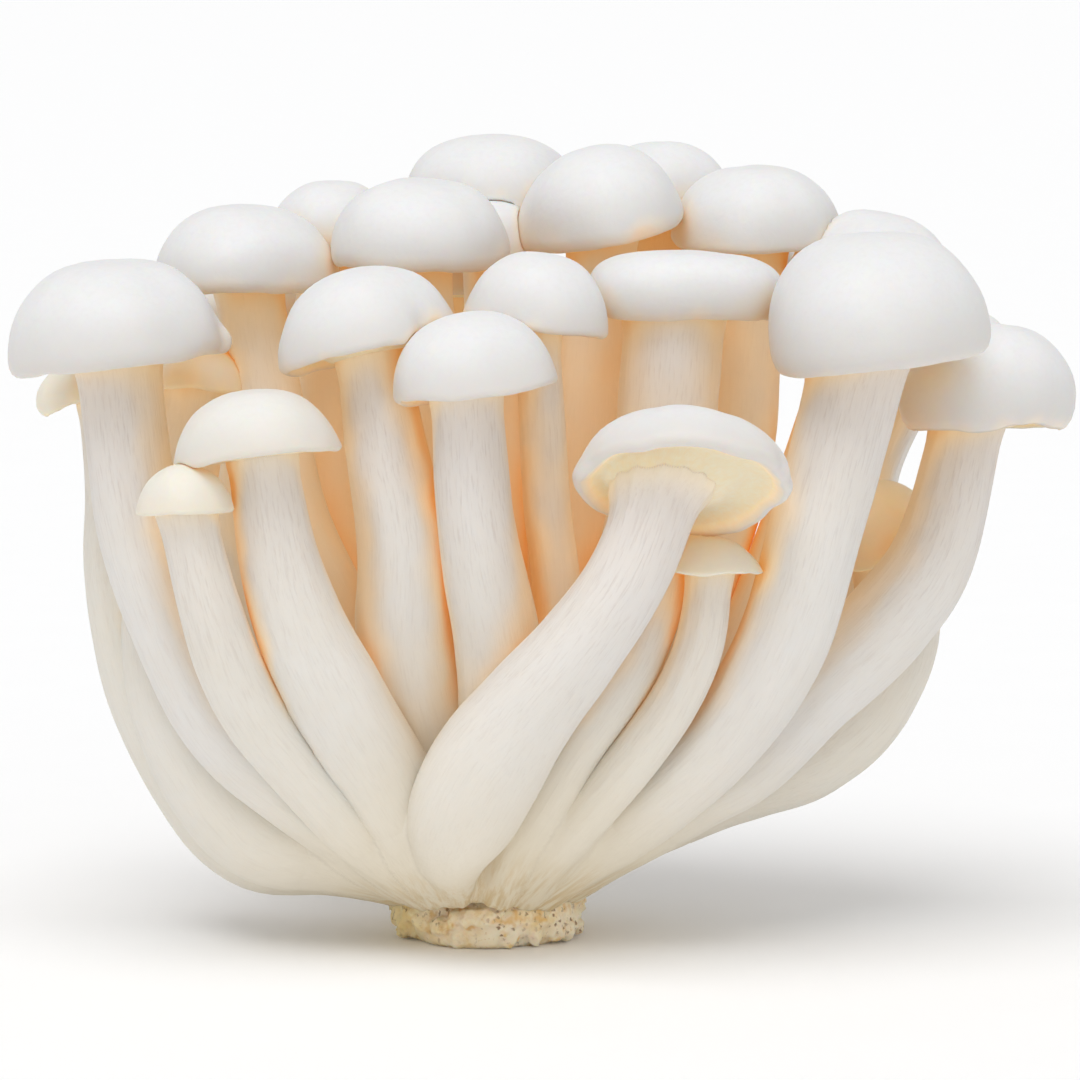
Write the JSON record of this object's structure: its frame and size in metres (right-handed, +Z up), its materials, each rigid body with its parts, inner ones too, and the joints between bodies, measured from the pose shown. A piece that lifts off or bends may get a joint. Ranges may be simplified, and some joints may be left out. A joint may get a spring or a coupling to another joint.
{
  "type": "shimeji mushroom bunch",
  "caption": "Bunch of white shimeji mushrooms: domed caps on curved stems that fan out of one fused base, standing upright on a small cut stub of growing medium.",
  "frame": {"origin": "centre of the flat cut face under the stub, which the bunch stands on", "axes": "+Z up through the bunch, -Y towards its front, where the tilted cap with its gills is seen, +X to the right along its widest extent"},
  "size_m": [0.1147, 0.0788, 0.088],
  "materials": {
    "cap": "satin",
    "stem": "matte",
    "base": "matte",
    "stub": "matte"
  },
  "bodies": {
    "root": {"cap_back_high": "cap", "cap_back_left_high": "cap", "cap_back_right_high": "cap", "cap_back_small": "cap", "cap_centre": "cap", "cap_centre_left": "cap", "cap_centre_right": "cap", "cap_front_centre": "cap", "cap_front_left": "cap", "cap_front_left_small": "cap", "cap_front_right_slim": "cap", "cap_front_right_small": "cap", "cap_front_tilted": "cap", "cap_left_back": "cap", "cap_left_inner": "cap", "cap_left_low": "cap", "cap_left_outer": "cap", "cap_rear_centre": "cap", "cap_rear_left": "cap", "cap_rear_low": "cap", "cap_rear_right": "cap", "cap_right_back": "cap", "cap_right_behind": "cap", "cap_right_big": "cap", "cap_right_low": "cap", "cap_right_outer": "cap", "cap_top_centre": "cap", "cap_top_left": "cap", "cap_top_right": "cap", "fused_base": "base", "stem_back_high": "stem", "stem_back_left_high": "stem", "stem_back_right_high": "stem", "stem_back_small": "stem", "stem_centre": "stem", "stem_centre_left": "stem", "stem_centre_right": "stem", "stem_front_centre": "stem", "stem_front_left": "stem", "stem_front_left_small": "stem", "stem_front_right_slim": "stem", "stem_front_right_small": "stem", "stem_front_tilted": "stem", "stem_left_back": "stem", "stem_left_inner": "stem", "stem_left_low": "stem", "stem_left_outer": "stem", "stem_rear_centre": "stem", "stem_rear_left": "stem", "stem_rear_low": "stem", "stem_rear_right": "stem", "stem_right_back": "stem", "stem_right_behind": "stem", "stem_right_big": "stem", "stem_right_low": "stem", "stem_right_outer": "stem", "stem_top_centre": "stem", "stem_top_left": "stem", "stem_top_right": "stem", "substrate_stub": "stub"}
  },
  "joints": []
}
